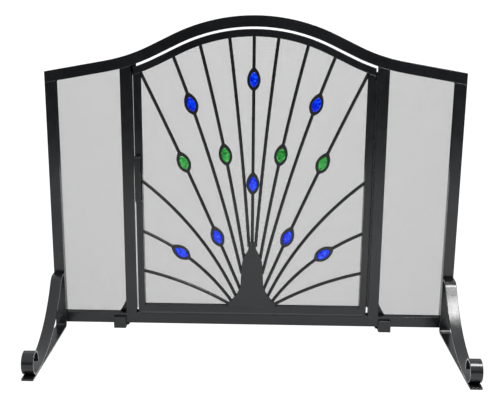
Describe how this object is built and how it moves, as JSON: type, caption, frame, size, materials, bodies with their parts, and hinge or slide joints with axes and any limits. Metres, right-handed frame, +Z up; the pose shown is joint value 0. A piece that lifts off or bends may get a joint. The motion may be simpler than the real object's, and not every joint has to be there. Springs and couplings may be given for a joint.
{
  "type": "fireplace screen",
  "caption": "Free-standing arched fireplace screen with mesh side panels and a hinged mesh door that carries a steel peacock with coloured glass drops.",
  "frame": {"origin": "on the floor, under the middle of the bounding box", "axes": "+X along the screen to the right as seen from the room, -Y towards the room, +Z up"},
  "size_m": [1.119, 0.4, 0.868],
  "materials": {
    "black_steel": "satin",
    "wire_mesh": "satin",
    "hardware": "satin",
    "blue_glass": "gloss",
    "green_glass": "gloss"
  },
  "bodies": {
    "frame": {"bottom_rail": "black_steel", "arched_top_rail": "black_steel", "left_post": "black_steel", "right_post": "black_steel", "left_mullion": "black_steel", "right_mullion": "black_steel", "left_side_mesh": "wire_mesh", "right_side_mesh": "wire_mesh", "left_mesh_strips": "black_steel", "right_mesh_strips": "black_steel", "left_corner_plate": "black_steel", "right_corner_plate": "black_steel", "left_mid_foot": "black_steel", "right_mid_foot": "black_steel", "left_foot_bar": "black_steel", "right_foot_bar": "black_steel", "left_scroll_brace": "black_steel", "right_scroll_brace": "black_steel", "top_stop": "black_steel", "strike_strip": "black_steel", "side_mesh_rivets": "hardware", "foot_bolts": "hardware", "foot_nuts": "hardware", "hinge_frame_leaf": "black_steel", "hinge_pin": "hardware"},
    "door": {"latch_stile": "black_steel", "hinge_stile": "black_steel", "door_bottom_rail": "black_steel", "door_top_rail": "black_steel", "door_mesh": "wire_mesh", "door_mesh_strips": "black_steel", "door_mesh_rivets": "hardware", "hinge_door_leaf": "black_steel", "door_handle": "black_steel", "peacock_body": "black_steel", "body_rivets": "hardware", "centre_ray": "black_steel", "left_ray_1": "black_steel", "right_ray_1": "black_steel", "left_ray_2": "black_steel", "right_ray_2": "black_steel", "left_ray_3": "black_steel", "right_ray_3": "black_steel", "left_ray_4": "black_steel", "right_ray_4": "black_steel", "left_ray_5": "black_steel", "right_ray_5": "black_steel", "left_ray_6": "black_steel", "right_ray_6": "black_steel", "left_ray_7": "black_steel", "right_ray_7": "black_steel", "gem_bezels": "black_steel", "blue_gems": "blue_glass", "green_gems": "green_glass"}
  },
  "joints": [
    {"name": "door_swing", "type": "hinge", "parent": "frame", "child": "door", "pos_m": [0.3245, 0.174, 0.4], "axis": [0, 0, 1], "range_deg": [0, 110]}
  ]
}
